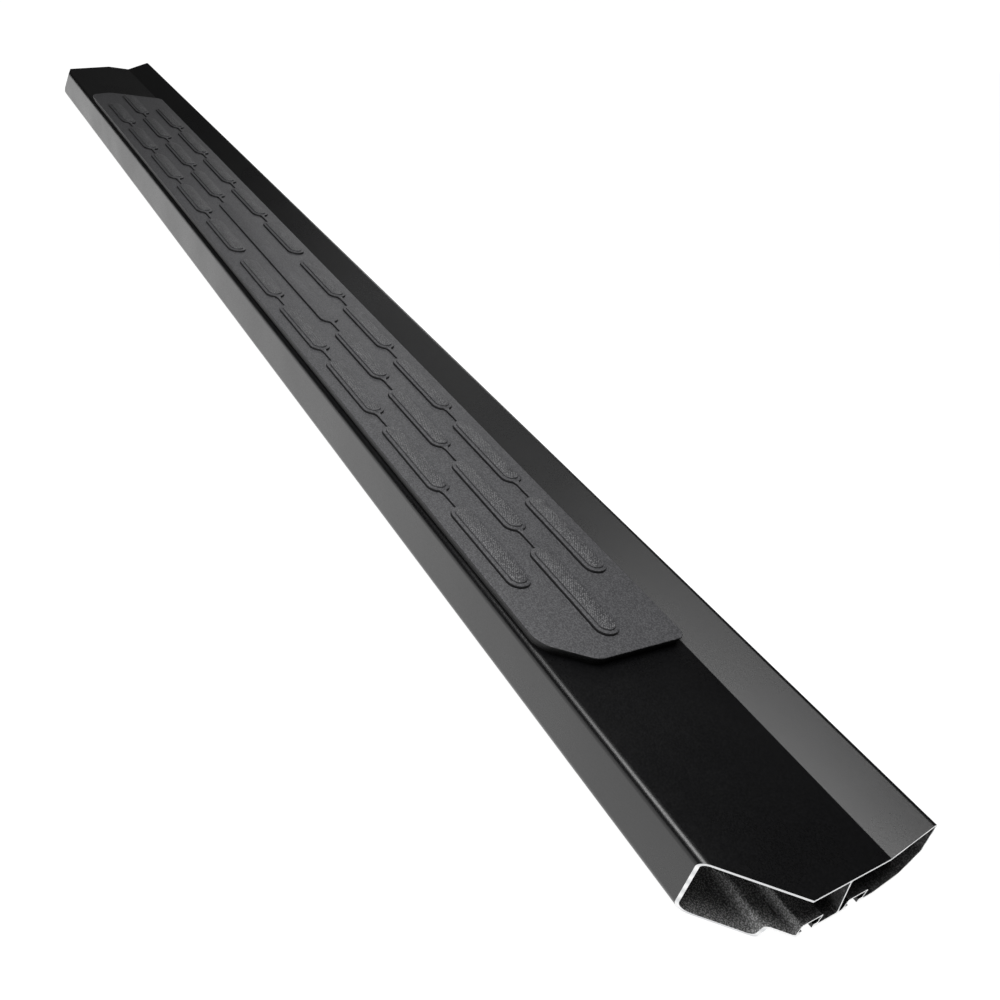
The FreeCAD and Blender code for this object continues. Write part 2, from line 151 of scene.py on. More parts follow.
class StudioSettings(bpy.types.PropertyGroup):
    """Camera and lights."""
    lens: bpy.props.FloatProperty(name="Lens", description="Focal length in millimetres",
                                  default=33.62)
    pan: bpy.props.FloatProperty(name="Pan", description="Turn from straight across the board",
                                 subtype="ANGLE", default=math.radians(49.76))
    tilt: bpy.props.FloatProperty(name="Tilt", description="Angle below the horizon",
                                  subtype="ANGLE", default=math.radians(31.37))
    roll: bpy.props.FloatProperty(name="Roll", description="Turn about the line of sight",
                                  subtype="ANGLE", default=math.radians(16.07))
    stand: bpy.props.FloatVectorProperty(name="Stand", subtype="TRANSLATION", precision=5,
                                         description="Camera from the near top rear corner",
                                         default=(0.12143, -0.50855, 0.38773))
    overhead: bpy.props.FloatProperty(name="Overhead", description="Power of the near softbox",
                                      subtype="POWER", default=16)
    strip: bpy.props.FloatProperty(name="Strip", description="Power of the strip over the board",
                                   subtype="POWER", default=1.5)
    ramp: bpy.props.FloatProperty(name="Ramp", description="Power of the softbox over the ramp",
                                  subtype="POWER", default=1.8)
    back: bpy.props.FloatProperty(name="Back", description="Power of the softbox behind",
                                  subtype="POWER", default=6)
    room: bpy.props.FloatProperty(name="Room", description="Brightness of the dark room",
                                  default=0.03)
    sweep: bpy.props.FloatProperty(name="Sweep", description="Brightness of the lit sweep",
                                   default=1.0)


SETTINGS = {"board_pad": PadSettings, "board_finish": FinishSettings,
            "board_studio": StudioSettings}


# ------------------------------------------------------------------ meshes
def finished_piece(name, shape, body, materials):
    """An object made of a bmesh, smooth over its rounded edges, that rides on a body."""
    mesh = bpy.data.meshes.new(name)
    shape.to_mesh(mesh)
    shape.free()
    for material in materials:
        mesh.materials.append(material)
    mesh.shade_smooth()
    mesh.set_sharp_from_angle(angle=SMOOTH_BELOW)
    piece = bpy.data.objects.new(name, mesh)
    bpy.context.scene.collection.objects.link(piece)
    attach(piece, body)
    return piece


def flat_face(shape, corners, height, setbacks, segments):
    """A flat face at a height; each corner is rounded from a setback along its sides."""
    verts = [shape.verts.new((x, y, height)) for x, y in corners]
    face = shape.faces.new(verts)
    for vert, setback in zip(verts, setbacks):
        if setback:
            made = bmesh.ops.bevel(shape, geom=[vert], offset=setback, offset_type="OFFSET",
                                   segments=segments, profile=0.5, affect="VERTICES", material=-1)
            face = made["verts"][0].link_faces[0]
    face.normal_update()
    if face.normal.z < 0:
        face.normal_flip()
    return face


def setback(before, corner, after, radius):
    """How far from a corner an arc of that radius starts."""
    sides = [Vector(end) - Vector(corner) for end in (before, after)]
    return radius / math.tan(sides[0].angle(sides[1]) / 2)


def thickened(shape, face, height):
    """A closed slab grown up from a flat face; gives its top face."""
    made = bmesh.ops.extrude_face_region(shape, geom=[face])
    top = next(item for item in made["geom"] if isinstance(item, bmesh.types.BMFace))
    bmesh.ops.translate(shape, verts=top.verts, vec=(0, 0, height))
    top.normal_update()
    return top


def stepped(shape, face, inward, upward):
    """Insets a top face and lifts it, which leaves a wall or a ledge round it."""
    bmesh.ops.inset_region(shape, faces=[face], thickness=inward, depth=upward,
                           use_boundary=True, use_even_offset=True)
    return face


def rounded_edges(shape, edges, radius, segments):
    """Rounds edges of a mesh."""
    bmesh.ops.bevel(shape, geom=edges, offset=radius, offset_type="OFFSET", segments=segments,
                    profile=0.5, affect="EDGES", clamp_overlap=True, material=-1)


def crisp_edges(shape, lowest):
    """Edges between faces that meet at more than 40 degrees, above a height."""
    return [edge for edge in shape.edges
            if len(edge.link_faces) == 2 and min(v.co.z for v in edge.verts) > lowest
            and edge.calc_face_angle() > math.radians(40)]


def pour(part, whole):
    """Adds a finished bmesh to another one and frees it."""
    bmesh.ops.recalc_face_normals(part, faces=part.faces)
    mesh = bpy.data.meshes.new("part")
    part.to_mesh(mesh)
    part.free()
    whole.from_mesh(mesh)
    bpy.data.meshes.remove(mesh)


# ------------------------------------------------------------------ step pad
def pad_corners(pad):
    """The pad's plan and the rounding setback of each corner."""
    low, high = PAD
    front = low.y + pad.mitre_y
    corners = [(low.x + pad.mitre_x, low.y), (high.x - pad.mitre_x, low.y), (high.x, front),
               (high.x, high.y), (low.x, high.y), (low.x, front)]
    radii = [pad.front_radius, pad.front_radius, pad.mitre_radius, pad.rear_radius,
             pad.rear_radius, pad.mitre_radius]
    count = len(corners)
    setbacks = [setback(corners[n - 1], corners[n], corners[(n + 1) % count], radii[n])
                for n in range(count)]
    return corners, setbacks


def pad_plan(shape, pad, inset, height):
    """A flat face with the pad's plan, set in all round."""
    corners, setbacks = pad_corners(pad)
    face = flat_face(shape, corners, height, setbacks, 12)
    if inset:
        outside = bmesh.ops.inset_region(shape, faces=[face], thickness=inset, depth=0,
                                         use_boundary=True, use_even_offset=True)
        bmesh.ops.delete(shape, geom=outside["faces"], context="FACES")
    return face


def add_layer(shape, pad, inset, bottom, top, rounding):
    """One layer of the slab, with rounded edges above and below."""
    layer = bmesh.new()
    thickened(layer, pad_plan(layer, pad, inset, bottom), top - bottom)
    rounded_edges(layer, crisp_edges(layer, 0), rounding, 4)
    pour(layer, shape)


def add_skirt(shape, pad, deck, top):
    """The skirt that the slab stands on, open in the middle."""
    face = pad_plan(shape, pad, pad.inset, deck)
    ring = bmesh.ops.inset_region(shape, faces=[face], thickness=pad.skirt, depth=0,
                                  use_boundary=True, use_even_offset=True)["faces"]
    bmesh.ops.delete(shape, geom=[face], context="FACES")
    made = bmesh.ops.extrude_face_region(shape, geom=ring)
    raised = [item for item in made["geom"] if isinstance(item, bmesh.types.BMVert)]
    bmesh.ops.translate(shape, verts=raised, vec=(0, 0, top - deck))


def add_seats(shape, top):
    """Round bosses over the clips and rails over the tapes, under the slab."""
    for clip in CLIPS:
        low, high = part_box(clip)
        head = PAD[0].z + 1.1 * MM
        place = Matrix.Translation(((low.x + high.x) / 2, (low.y + high.y) / 2, (head + top) / 2))
        bmesh.ops.create_cone(shape, cap_ends=True, segments=24, radius1=8.5 * MM,
                              radius2=8.5 * MM, depth=top - head, matrix=place)
    for tape in TAPES:
        low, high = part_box(tape)
        middle = ((low.x + high.x) / 2, (low.y + high.y) / 2, (high.z + top) / 2)
        size = Matrix.Diagonal((high.x - low.x, high.y - low.y, top - high.z, 1))
        bmesh.ops.create_cube(shape, size=1, matrix=Matrix.Translation(middle) @ size)


def tread_rows(pad):
    """Each row's treads as (x, y, length), in order along the board."""
    side_x = [(n - (SIDE_ROW_TREADS - 1) / 2) * pad.pitch for n in range(SIDE_ROW_TREADS)]
    steps = [n + 2 for n in range(MIDDLE_ROW_TREADS)]
    middle = [(-n * pad.pitch, pad.tread) for n in reversed(steps)]
    middle += [(0, 2 * pad.pitch + pad.tread)]
    middle += [(n * pad.pitch, pad.tread) for n in steps]
    rows = [[(x, pad.tread) for x in side_x], middle, [(x, pad.tread) for x in side_x]]
    return [[(pad.middle_x + x, pad.middle_y + side * pad.rows, long) for x, long in row]
            for side, row in zip((-1, 0, 1), rows)]


def lozenge(shape, x, y, long, width, height):
    """A flat face with two long sides and fully round ends."""
    segments = 28
    turn = Matrix.Rotation(math.pi / segments, 4, "Z")
    made = bmesh.ops.create_circle(shape, cap_ends=True, segments=segments, radius=width / 2,
                                   matrix=Matrix.Translation((x, y, height)) @ turn)
    for vert in made["verts"]:
        vert.co.x += math.copysign((long - width) / 2, vert.co.x - x)
    face = made["verts"][0].link_faces[0]
    face.normal_update()
    if face.normal.z < 0:
        face.normal_flip()
    return face


def add_tread(shape, pad, x, y, long, top):
    """One tread: a low rim with a drafted wall, and a gripping top except on the long one."""
    draft = 0.3 * MM
    sunk = 0.3 * MM
    face = lozenge(shape, x, y, long, pad.width, top - sunk)
    face = thickened(shape, face, sunk)
    face = stepped(shape, face, draft, pad.rim_height)
    if long > pad.pitch:
        return
    face = stepped(shape, face, pad.rim - draft, 0)
    stepped(shape, face, draft, pad.top_height)


def add_bridge(shape, pad, start, end, y, top):
    """A thin bar that flares where it leaves a tread."""
    half = pad.bridge / 2
    flare = start + pad.rim + 2.6 * MM
    corners = [(start, y - 2.6 * half), (flare, y - half), (end, y - 0.8 * half),
               (end, y + 0.8 * half), (flare, y + half), (start, y + 2.6 * half)]
    sunk = 0.3 * MM
    face = flat_face(shape, corners, top - sunk, [0, 2.2 * MM, 0, 0, 2.2 * MM, 0], 5)
    face = thickened(shape, face, sunk)
    stepped(shape, face, 0.2 * MM, pad.rim_height - 0.2 * MM)


def mark_grips(shape, lowest):
    """Gives the flat tops of the treads the gritty finish."""
    for face in shape.faces:
        if face.normal.z > 0.99 and face.calc_center_median().z > lowest:
            face.material_index = 1


def build_step_pad(pad, materials):
    """The whole pad as one mesh."""
    deck = PAD[0].z
    top = deck + pad.height
    under = top - pad.slab
    lip = top - pad.lip
    shape = bmesh.new()
    add_skirt(shape, pad, deck, under + 0.3 * MM)
    add_seats(shape, under + 0.3 * MM)
    bmesh.ops.recalc_face_normals(shape, faces=shape.faces)
    add_layer(shape, pad, pad.lip_inset, under, lip + 0.2 * MM, 0.3 * MM)
    add_layer(shape, pad, 0, lip, top, 0.6 * MM)
    raised = bmesh.new()
    for row in tread_rows(pad):
        for x, y, long in row:
            add_tread(raised, pad, x, y, long, top)
        for (x, y, long), (after, _, after_long) in zip(row, row[1:]):
            start = x + long / 2 - pad.rim
            end = after - after_long / 2 + pad.rim
            if abs((start + end) / 2 - pad.middle_x) > pad.rim:
                add_bridge(raised, pad, start, end, y, top)
    bmesh.ops.recalc_face_normals(raised, faces=raised.faces)
    rounded_edges(raised, crisp_edges(raised, top + 0.5 * MM), 0.35 * MM, 2)
    mark_grips(raised, top + pad.rim_height + pad.top_height / 2)
    pour(raised, shape)
    piece = finished_piece("moulded_step_pad", shape, "board", materials)
    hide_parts("step_pad")
    return piece


# ------------------------------------------------------------------ studs
def add_turned(shape, x, y, profile, segments=40):
    """A round solid: a profile of (radius, height) turned about an upright axis."""
    verts = [shape.verts.new((x + radius, y, height)) for radius, height in profile]
    edges = [shape.edges.new(pair) for pair in zip(verts, verts[1:])]
    bmesh.ops.spin(shape, geom=verts + edges, cent=(x, y, 0), axis=(0, 0, 1),
                   angle=2 * math.pi, steps=segments, use_merge=True)
    bmesh.ops.remove_doubles(shape, verts=shape.verts, dist=0.001 * MM)


def add_thread(shape, x, y, core, crest, pitch, low, high):
    """A ridge wound round the core, closed at both ends."""
    half = 0.44 * pitch
    corners = [(core, low - half), (crest, low - half / 4), (crest, low + half / 4),
               (core, low + half)]
    section = [shape.verts.new((x + radius, y, height)) for radius, height in corners]
    face = shape.faces.new(section)
    turns = (high - low) / pitch
    steps = int(turns * 24)
    bmesh.ops.spin(shape, geom=[face] + list(face.verts) + list(face.edges), cent=(x, y, 0),
                   axis=(0, 0, 1), dvec=(0, 0, (high - low) / steps), angle=turns * 2 * math.pi,
                   steps=steps, use_merge=False)


def build_stud(slot, number, zinc):
    """A zinc-plated stud: pointed thread below, smooth shoulder in the plate."""
    low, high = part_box(f"stud_{slot}_{number}")
    x = (low.x + high.x) / 2
    y = (low.y + high.y) / 2
    shoulder = (high.x - low.x) / 2
    crest = 4 * MM
    core = 3.35 * MM
    pitch = 1.25 * MM
    slot_plane = 13.4 * MM
    shape = bmesh.new()
    add_turned(shape, x, y, [(0, low.z), (core - 0.6 * MM, low.z), (core, low.z + 0.6 * MM),
                             (core, slot_plane - 1.2 * MM), (crest, slot_plane - 0.6 * MM),
                             (crest, slot_plane), (shoulder, slot_plane + 0.3 * MM),
                             (shoulder, high.z - 0.4 * MM), (shoulder - 0.4 * MM, high.z),
                             (0, high.z)])
    bmesh.ops.recalc_face_normals(shape, faces=shape.faces)
    ridge = bmesh.new()
    add_thread(ridge, x, y, core - 0.05 * MM, crest, pitch, low.z + 1.3 * MM,
               slot_plane - 1.2 * MM)
    pour(ridge, shape)
    name = f"threaded_stud_{slot}_{number}"
    piece = finished_piece(name, shape, f"slider_{slot}_{number}", [zinc])
    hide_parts(f"stud_{slot}_{number}")


# ------------------------------------------------------------------ materials
def new_material(name):
    """An empty node material and its node tree."""
    material = bpy.data.materials.new(name)
    material.use_nodes = True
    material.node_tree.nodes.clear()
    return material, material.node_tree


def node(tree, kind, inputs=None, **settings):
    """Adds a node, sets it up, and fills or links its inputs; a link is (node, output)."""
    made = tree.nodes.new("ShaderNode" + kind)
    for name, value in settings.items():
        setattr(made, name, value)
    for socket, value in (inputs or {}).items():
        if isinstance(value, tuple) and isinstance(value[0], bpy.types.Node):
            tree.links.new(value[0].outputs[value[1]], made.inputs[socket])
        else:
            made.inputs[socket].default_value = value
    return made


def per(millimetres):
    """The scale of a texture whose features are that far apart."""
    return 1 / (millimetres * MM)


def rgba(values):
    """A colour setting as a shader's four numbers."""
    return (*values, 1)


def cut_planes():
    """The saw cuts at the board's ends, each as a point and its outward direction.

    The mitres are given by the end they are at, the point where they cross the deck, their
    angle in plan from a square cut, and their lean from upright.
    """
    half = BOARD[1].x
    deck = PAD[0].z
    far_y = 5 * MM
    far_angle = 37.2
    nose_y = -70.2 * MM
    nose_x = -half + (far_y - nose_y) * math.tan(math.radians(far_angle))
    cuts = [(1, half, -31.6 * MM, 44.2, -7.6), (-1, -half, far_y, far_angle, 30.5),
            (-1, nose_x, nose_y, 75, 15.2)]
    planes = [(Vector((side * half, 0, 0)), Vector((side, 0, 0))) for side in (1, -1)]
    for side, x, y, angle, lean in cuts:
        turn, tip = math.radians(angle), math.radians(lean)
        outward = Vector((side * math.cos(tip) * math.cos(turn), -math.cos(tip) * math.sin(turn),
                          math.sin(tip)))
        planes.append((Vector((x, y, deck)), outward))
    return planes


def sawn_mask(tree, place):
    """1 on the saw cuts and 0 elsewhere."""
    facing = node(tree, "NewGeometry")
    mask = None
    for point, outward in cut_planes():
        along = node(tree, "VectorMath", {0: (place, "Object"), 1: outward}, operation="DOT_PRODUCT")
        near = node(tree, "Math", {0: (along, "Value"), 1: point.dot(outward), 2: 0.06 * MM},
                    operation="COMPARE")
        turned = node(tree, "VectorMath", {0: (facing, "Normal"), 1: outward},
                      operation="DOT_PRODUCT")
        square = node(tree, "Math", {0: (turned, "Value"), 1: 0.99}, operation="GREATER_THAN")
        both = node(tree, "Math", {0: (near, 0), 1: (square, 0)}, operation="MULTIPLY")
        mask = both if mask is None else node(tree, "Math", {0: (mask, 0), 1: (both, 0)},
                                              operation="MAXIMUM")
    return mask


def slot_spans():
    """Each slot channel's middle across the board and its half width."""
    room = 0.6 * MM
    plates = [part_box(f"slider_plate_{slot}_1") for slot in ("front", "rear")]
    return [((low.y + high.y) / 2, (high.y - low.y) / 2 + room) for low, high in plates]


def hollow_light_mask(tree, place):
    """1 on the walls of the front hollow, fading to a quarter in the rear one.

    A wall of a hollow looks to the hollow's middle and an outer face looks away from it. The
    slot channels' own walls are left out. The mask places painted light on the hollow walls, and
    its fade to a quarter in the rear hollow is painted shade.
    """
    fall = WEB_FOOT - WEB_TOP
    rearward = Vector((0, -fall.z, fall.y)).normalized()
    section = node(tree, "VectorMath", {0: (place, "Object"), 1: (0, 1, 1)}, operation="MULTIPLY")
    past = node(tree, "VectorMath", {0: (section, 0), 1: rearward}, operation="DOT_PRODUCT")
    behind = node(tree, "Math", {0: (past, "Value"), 1: rearward.dot(WEB_TOP)},
                  operation="GREATER_THAN")
    middle = node(tree, "Mix", {0: (behind, 0), 4: Vector((0, -45, 32)) * MM,
                                5: Vector((0, 45, 38)) * MM}, data_type="VECTOR")
    inward = node(tree, "VectorMath", {0: (middle, 1), 1: (section, 0)}, operation="SUBTRACT")
    facing = node(tree, "NewGeometry")
    seen = node(tree, "VectorMath", {0: (inward, 0), 1: (facing, "Normal")},
                operation="DOT_PRODUCT")
    walls = node(tree, "Math", {0: (seen, "Value"), 1: 0.5 * MM}, operation="GREATER_THAN")
    across = node(tree, "SeparateXYZ", {0: (section, 0)})
    slots = [node(tree, "Math", {0: (across, "Y"), 1: y, 2: half}, operation="COMPARE")
             for y, half in slot_spans()]
    either = node(tree, "Math", {0: (slots[0], 0), 1: (slots[1], 0)}, operation="MAXIMUM")
    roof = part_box("slider_plate_front_1")[1].z + 0.8 * MM
    low = node(tree, "Math", {0: (across, "Z"), 1: roof}, operation="LESS_THAN")
    channel = node(tree, "Math", {0: (either, 0), 1: (low, 0)}, operation="MULTIPLY")
    closed = node(tree, "Math", {0: (walls, 0), 1: (channel, 0)}, operation="SUBTRACT",
                  use_clamp=True)
    # Painted shade: the painted light fades from the front hollow to a quarter in the rear one.
    hollow_light_fade = node(tree, "MapRange", {0: (across, "Y"), 1: -42 * MM, 2: 5 * MM, 3: 1, 4: 0.25})
    return node(tree, "Math", {0: (closed, 0), 1: (hollow_light_fade, 0)}, operation="MULTIPLY")


def powder_coated_aluminium(finish):
    """Extruded 6000-series aluminium, satin black powder coat, sawn ends left bare.

    The coat cures with a faint orange peel about 1.5 mm across, drawn 2 mm wide so that it
    shows; the blade leaves fine straight lines on the bare cuts. The walls of the hollows are
    painted pale grey with pale flecks: painted light for the light that comes in at the open
    end, fading to a quarter towards the rear hollow as painted shade.
    """
    material, tree = new_material("powder_coated_aluminium")
    place = node(tree, "TexCoord")
    mask = sawn_mask(tree, place)
    hollow = hollow_light_mask(tree, place)
    clouds = node(tree, "TexNoise", {"Vector": (place, "Object"), "Scale": per(90), "Detail": 4})
    speck = node(tree, "TexNoise", {"Vector": (place, "Object"), "Scale": per(0.9), "Detail": 2})
    peel = node(tree, "TexNoise", {"Vector": (place, "Object"), "Scale": per(2), "Detail": 2})
    lines = node(tree, "TexWave", {"Vector": (place, "Object"), "Scale": per(1.6) / 20,
                                   "Distortion": 1.5, "Detail": 2}, bands_direction="Z")
    shade = node(tree, "MapRange", {0: (speck, "Fac"), 1: 0.35, 2: 0.75, 3: 0.85, 4: 1.5})
    coat = node(tree, "VectorMath", {0: finish.coat, 3: 1.0}, operation="SCALE")
    tree.links.new(shade.outputs[0], coat.inputs["Scale"])
    # Painted light inside the hollows: pale grey with pale flecks, mixed over the coat on the hollow
    # walls.
    hollow_speck_mask = node(tree, "MapRange", {0: (speck, "Fac"), 1: 0.48, 2: 0.6, 3: 0, 4: 1})
    hollow_light_colour = node(tree, "Mix", {0: (hollow_speck_mask, 0), 6: rgba(finish.hollow_light),
                               7: rgba(finish.hollow_light_specks)}, data_type="RGBA")
    coat_and_hollow_light = node(tree, "Mix", {0: (hollow, 0), 6: (coat, "Vector"), 7: (hollow_light_colour, 2)},
                   data_type="RGBA")
    bare = node(tree, "Mix", {0: (lines, "Fac"), 6: rgba(finish.bare), 7: rgba(finish.saw_lines)},
                data_type="RGBA")
    skin = node(tree, "Mix", {0: (mask, 0), 6: (coat_and_hollow_light, 2), 7: (bare, 2)}, data_type="RGBA")
    cloudy = node(tree, "MapRange", {0: (clouds, "Fac"), 1: 0.3, 2: 0.7, 3: 0.25, 4: 0.31})
    grainy = node(tree, "MapRange", {0: (speck, "Fac"), 1: 0.35, 2: 0.7, 3: 0, 4: 0.11})
    satin = node(tree, "Math", {0: (cloudy, 0), 1: (grainy, 0)}, operation="ADD")
    dull = node(tree, "Mix", {0: (hollow, 0), 2: (satin, 0), 3: 0.6})
    rough = node(tree, "Mix", {0: (mask, 0), 2: (dull, 0), 3: 0.5})
    relief = node(tree, "Mix", {0: (mask, 0), 2: (peel, "Fac"), 3: (lines, "Fac")})
    bump = node(tree, "Bump", {"Height": (relief, 0), "Strength": 0.4, "Distance": 0.05 * MM})
    skin_shader = node(tree, "BsdfPrincipled", {
        "Base Color": (skin, 2), "Metallic": (mask, 0), "Roughness": (rough, 0),
        "Normal": (bump, 0)})
    node(tree, "OutputMaterial", {"Surface": (skin_shader, 0)})
    return material


def moulded_thermoplastic(finish):
    """Injection-moulded black TPO with a spark-eroded grain of about 0.5 mm.

    The grain's raised tops are painted paler, a painted highlight for the soft grey sheen that
    the grain scatters. It is drawn 1.1 mm wide so that it shows. Steep walls, smooth so that
    the pad leaves the mould, are painted near black without the paler grain: painted shade.
    """
    material, tree = new_material("moulded_thermoplastic")
    place = node(tree, "TexCoord")
    grain = node(tree, "TexNoise", {"Vector": (place, "Object"), "Scale": per(1.1), "Detail": 3,
                                    "Roughness": 0.65})
    clouds = node(tree, "TexNoise", {"Vector": (place, "Object"), "Scale": per(60), "Detail": 3})
    # Painted highlight: the grain's raised tops, where the bump is high, are paler.
    tone = node(tree, "MapRange", {0: (grain, "Fac"), 1: 0.42, 2: 0.62, 3: 0, 4: 0.8})
    flat = node(tree, "Mix", {0: (tone, 0), 6: rgba(finish.pad), 7: rgba(finish.grain_highlight)},
                data_type="RGBA")
    facing = node(tree, "NewGeometry")
    upright = node(tree, "SeparateXYZ", {0: (facing, "Normal")})
    # Painted shade: faces are coloured near black the steeper they stand.
    level = node(tree, "MapRange", {0: (upright, "Z"), 1: 0.15, 2: 0.55, 3: 0, 4: 1})
    skin = node(tree, "Mix", {0: (level, 0), 6: rgba(finish.walls), 7: (flat, 2)},
                data_type="RGBA")
    rough = node(tree, "MapRange", {0: (clouds, "Fac"), 1: 0.3, 2: 0.7, 3: 0.52, 4: 0.6})
    bump = node(tree, "Bump", {"Height": (grain, "Fac"), "Strength": 0.55, "Distance": 0.15 * MM})
    shader = node(tree, "BsdfPrincipled", {"Base Color": (skin, 2), "Roughness": (rough, 0),
                                           "IOR": 1.49, "Normal": (bump, 0)})
    node(tree, "OutputMaterial", {"Surface": (shader, 0)})
    return material


def gripping_thermoplastic(finish):
    """The same plastic where the mould has rows of small sharp points for shoe grip.

    The points are about 1 mm apart and are drawn 1.5 mm apart so that they show; their tips
    are painted paler than the hollows, partly as patchy wear and partly as a painted highlight.
    """
    material, tree = new_material("gripping_thermoplastic")
    place = node(tree, "TexCoord")
    turned = node(tree, "Mapping", {"Vector": (place, "Object"),
                                    "Rotation": (0, 0, math.radians(35))})
    points = node(tree, "TexVoronoi", {"Vector": (turned, 0), "Scale": per(1.5),
                                       "Randomness": 0.45})
    wear = node(tree, "TexNoise", {"Vector": (place, "Object"), "Scale": per(9), "Detail": 2})
    # Paler tips: partly wear in patches, partly a painted highlight on the points.
    tip = node(tree, "MapRange", {0: (points, "Distance"), 1: 0.1, 2: 0.5, 3: 1, 4: 0})
    tone = node(tree, "Math", {0: (tip, 0), 1: (wear, "Fac")}, operation="MULTIPLY")
    skin = node(tree, "Mix", {0: (tone, 0), 6: rgba(finish.pad), 7: rgba(finish.grip)},
                data_type="RGBA")
    bump = node(tree, "Bump", {"Height": (tip, 0), "Strength": 0.8, "Distance": 0.35 * MM})
    shader = node(tree, "BsdfPrincipled", {"Base Color": (skin, 2), "Roughness": 0.5, "IOR": 1.49,
                                           "Normal": (bump, 0)})
    node(tree, "OutputMaterial", {"Surface": (shader, 0)})
    return material


def closed_cell_foam(finish):
    """Polyethylene foam tape, cut from a sheet: matt, with open bubbles of about 0.6 mm."""
    material, tree = new_material("closed_cell_foam")
    place = node(tree, "TexCoord")
    cells = node(tree, "TexVoronoi", {"Vector": (place, "Object"), "Scale": per(0.7)})
    # Painted shade: the foam is darker where the bubbles' hollows lie low in the bump.
    hollow = node(tree, "MapRange", {0: (cells, "Distance"), 1: 0.1, 2: 0.7, 3: 0, 4: 1})
    skin = node(tree, "Mix", {0: (hollow, 0), 6: rgba(finish.bubbles), 7: rgba(finish.foam)},
                data_type="RGBA")
    bump = node(tree, "Bump", {"Height": (hollow, 0), "Strength": 0.6, "Distance": 0.2 * MM})
    shader = node(tree, "BsdfPrincipled", {"Base Color": (skin, 2), "Roughness": 0.9,
                                           "Normal": (bump, 0)})
    node(tree, "OutputMaterial", {"Surface": (shader, 0)})
    return material


def moulded_nylon(finish):
    """Injection-moulded nylon 6: smooth, half gloss, with slow flow marks 5 mm across."""
    material, tree = new_material("moulded_nylon")
    place = node(tree, "TexCoord")
    flow = node(tree, "TexNoise", {"Vector": (place, "Object"), "Scale": per(5), "Detail": 3})
    skin = node(tree, "Mix", {0: (flow, "Fac"), 6: rgba(finish.nylon), 7: rgba(finish.flow_marks)},
                data_type="RGBA")
    rough = node(tree, "MapRange", {0: (flow, "Fac"), 1: 0.3, 2: 0.7, 3: 0.34, 4: 0.46})
    shader = node(tree, "BsdfPrincipled", {"Base Color": (skin, 2), "Roughness": (rough, 0),
                                           "IOR": 1.53})
    node(tree, "OutputMaterial", {"Surface": (shader, 0)})
    return material


def zinc_plated_steel(finish):
    """Cold-formed steel with bright zinc plate: blue-grey, cloudy, a little scratched."""
    material, tree = new_material("zinc_plated_steel")
    place = node(tree, "TexCoord")
    clouds = node(tree, "TexNoise", {"Vector": (place, "Object"), "Scale": per(4), "Detail": 4})
    marks = node(tree, "TexNoise", {"Vector": (place, "Object"), "Scale": per(0.8), "Detail": 2})
    skin = node(tree, "Mix", {0: (clouds, "Fac"), 6: rgba(finish.zinc), 7: rgba(finish.dull_zinc)},
                data_type="RGBA")
    rough = node(tree, "MapRange", {0: (marks, "Fac"), 1: 0.3, 2: 0.7, 3: 0.26, 4: 0.42})
    bump = node(tree, "Bump", {"Height": (marks, "Fac"), "Strength": 0.2, "Distance": 0.03 * MM})
    shader = node(tree, "BsdfPrincipled", {"Base Color": (skin, 2), "Metallic": 1,
                                           "Roughness": (rough, 0), "Normal": (bump, 0)})
    node(tree, "OutputMaterial", {"Surface": (shader, 0)})
    return material


def paint(material, *names):
    """Gives carried-over CAD nodes a finished material."""
    for name in names:
        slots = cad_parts[name].material_slots
        for number in range(len(slots)):
            slots[number].link = "OBJECT"
            slots[number].material = material


# ------------------------------------------------------------------ studio
def stage_floor(studio):
    """A pale floor that is lit from below like a light table, so that it stays white."""
    below = CAD_BOUNDS[0][2] - 0.5 * MM
    shape = bmesh.new()
    bmesh.ops.create_circle(shape, cap_ends=True, segments=96, radius=30,
                            matrix=Matrix.Translation((0, 0, below)))
    mesh = bpy.data.meshes.new("floor")
    shape.to_mesh(mesh)
    shape.free()
    material, tree = new_material("opal_acrylic_sweep")
    shader = node(tree, "BsdfPrincipled", {
        "Base Color": rgba(linear("#6e6e6e")), "Roughness": 0.9, "Specular IOR Level": 0.1,
        "Emission Color": (1, 1, 1, 1), "Emission Strength": studio.sweep})
    node(tree, "OutputMaterial", {"Surface": (shader, 0)})
    mesh.materials.append(material)
    floor = bpy.data.objects.new("floor", mesh)
    bpy.context.scene.collection.objects.link(floor)


def room_light(studio):
    """A dark room round the lights, seen past the sweep as a plain white background."""
    world = bpy.data.worlds.new("room")
    world.use_nodes = True
    tree = world.node_tree
    tree.nodes.clear()
    path = node(tree, "LightPath")
    dark = node(tree, "Background", {"Color": (1, 1, 1, 1), "Strength": studio.room})
    white = node(tree, "Background", {"Color": (1, 1, 1, 1), "Strength": 1.05})
    seen = node(tree, "MixShader", {0: (path, "Is Camera Ray"), 1: (dark, 0), 2: (white, 0)})
    node(tree, "OutputWorld", {"Surface": (seen, 0)})
    bpy.context.scene.world = world


def add_softbox(name, place, aim, size, power):
    """A rectangular softbox that faces a point."""
    lamp = bpy.data.lights.new(name, "AREA")
    lamp.shape = "RECTANGLE"
    lamp.size, lamp.size_y = size
    lamp.energy = power
    box = bpy.data.objects.new(name, lamp)
    bpy.context.scene.collection.objects.link(box)
    turn = (Vector(aim) - Vector(place)).to_track_quat("-Z", "Y")
    box.matrix_world = Matrix.Translation(place) @ turn.to_matrix().to_4x4()


